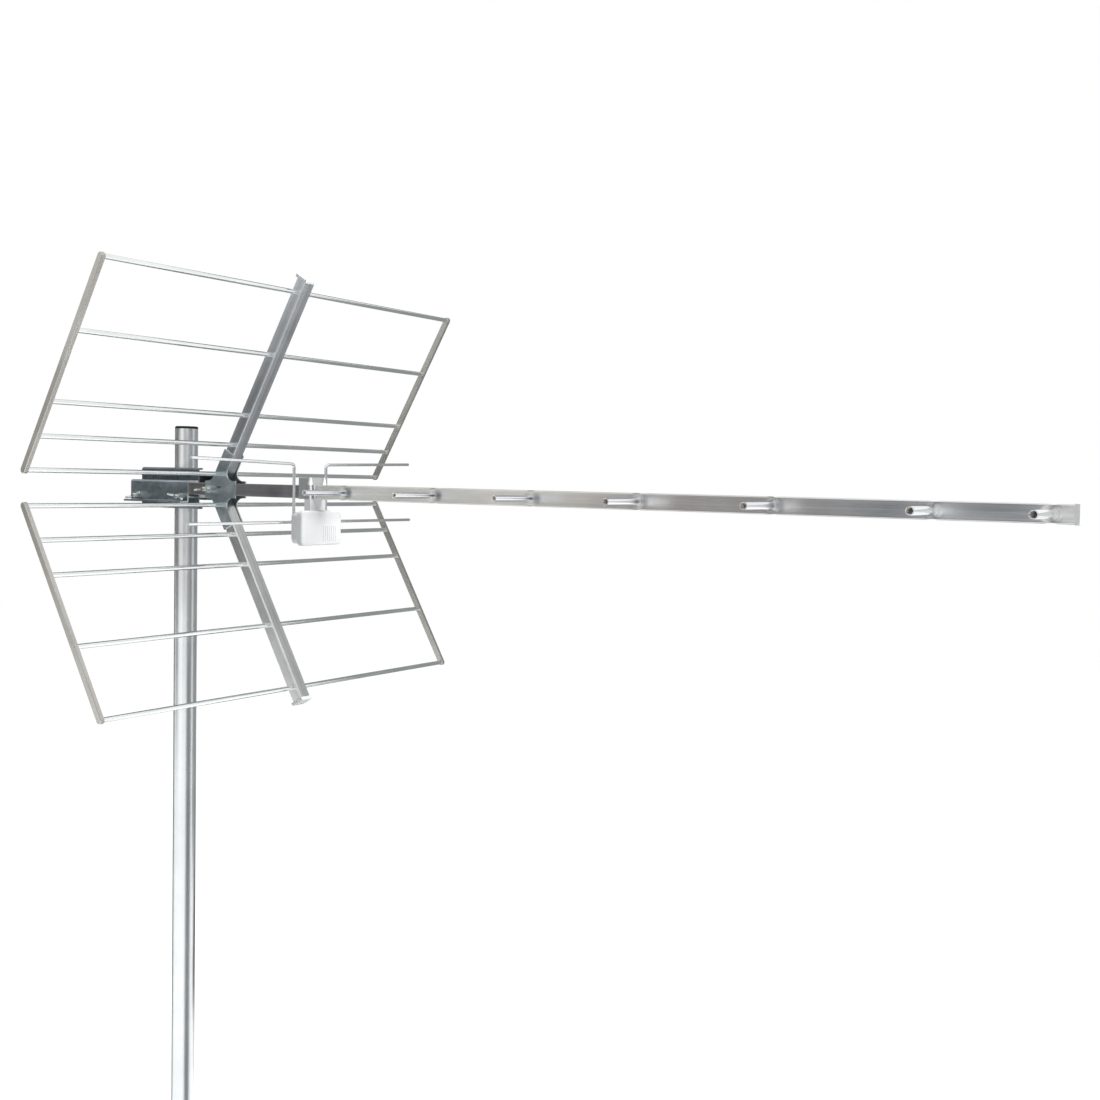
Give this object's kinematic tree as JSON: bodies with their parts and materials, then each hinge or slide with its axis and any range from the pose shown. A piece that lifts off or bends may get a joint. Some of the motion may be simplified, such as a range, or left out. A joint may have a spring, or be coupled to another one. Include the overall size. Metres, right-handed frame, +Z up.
{
  "type": "tv yagi antenna",
  "caption": "UHF television Yagi antenna with a square boom, rod corner reflector, C-shaped dipole and feed box, clamped beside a round mast",
  "frame": {"origin": "centre of the mast's foot", "axes": "+Z runs up the mast, +X runs along the boom towards the directors, the boom passes the mast on its -Y side"},
  "size_m": [1.5183, 0.742, 1.4324],
  "materials": {
    "mast_tube": "satin drawn tube",
    "black_plastic": "moulded, matte",
    "galvanised_steel": "zinc plated and passivated, dull blue grey",
    "zinc_hardware": "bright zinc",
    "boom_metal": "extruded tube, mill finish",
    "rear_boom_metal": "extruded tube, dull mill finish",
    "rod_metal": "drawn tube, bright",
    "rib_metal": "extruded tube, mill finish",
    "strip_metal": "satin flat strip",
    "director_metal": "drawn tube, bright",
    "wire_metal": "drawn wire, satin",
    "white_plastic": "moulded, slight gloss",
    "grey_plastic": "moulded, milky grey",
    "cap_plastic": "moulded, pale grey",
    "board": "lacquered circuit board",
    "brass": "plated"
  },
  "bodies": {
    "root": {"boom_end_cap": "white_plastic", "clamp_bolts": "zinc_hardware", "clamp_channel": "galvanised_steel", "clamp_washers": "zinc_hardware", "coax_socket": "brass", "dipole_far": "wire_metal", "dipole_insulator": "grey_plastic", "dipole_near": "wire_metal", "director_1": "director_metal", "director_2": "director_metal", "director_3": "director_metal", "director_4": "director_metal", "director_5": "director_metal", "director_6": "director_metal", "director_7": "director_metal", "feed_cover": "white_plastic", "feed_housing": "white_plastic", "front_boom": "boom_metal", "hub_bolt": "zinc_hardware", "hub_nut": "zinc_hardware", "hub_plate_far": "galvanised_steel", "hub_plate_near": "galvanised_steel", "hub_washer": "zinc_hardware", "lower_rib": "rib_metal", "lower_rib_cap": "cap_plastic", "lower_rod_1": "rod_metal", "lower_rod_2": "rod_metal", "lower_rod_3": "rod_metal", "lower_rod_4": "rod_metal", "lower_rod_5": "rod_metal", "lower_strip_far": "strip_metal", "lower_strip_near": "strip_metal", "mast": "mast_tube", "mast_cap": "black_plastic", "mast_jaw_far": "galvanised_steel", "mast_jaw_near": "galvanised_steel", "matching_board": "board", "rear_boom": "rear_boom_metal", "upper_rib": "rib_metal", "upper_rib_cap": "cap_plastic", "upper_rod_1": "rod_metal", "upper_rod_2": "rod_metal", "upper_rod_3": "rod_metal", "upper_rod_4": "rod_metal", "upper_rod_5": "rod_metal", "upper_strip_far": "strip_metal", "upper_strip_near": "strip_metal", "wing_nuts": "zinc_hardware", "wire_terminals": "brass"}
  },
  "joints": []
}
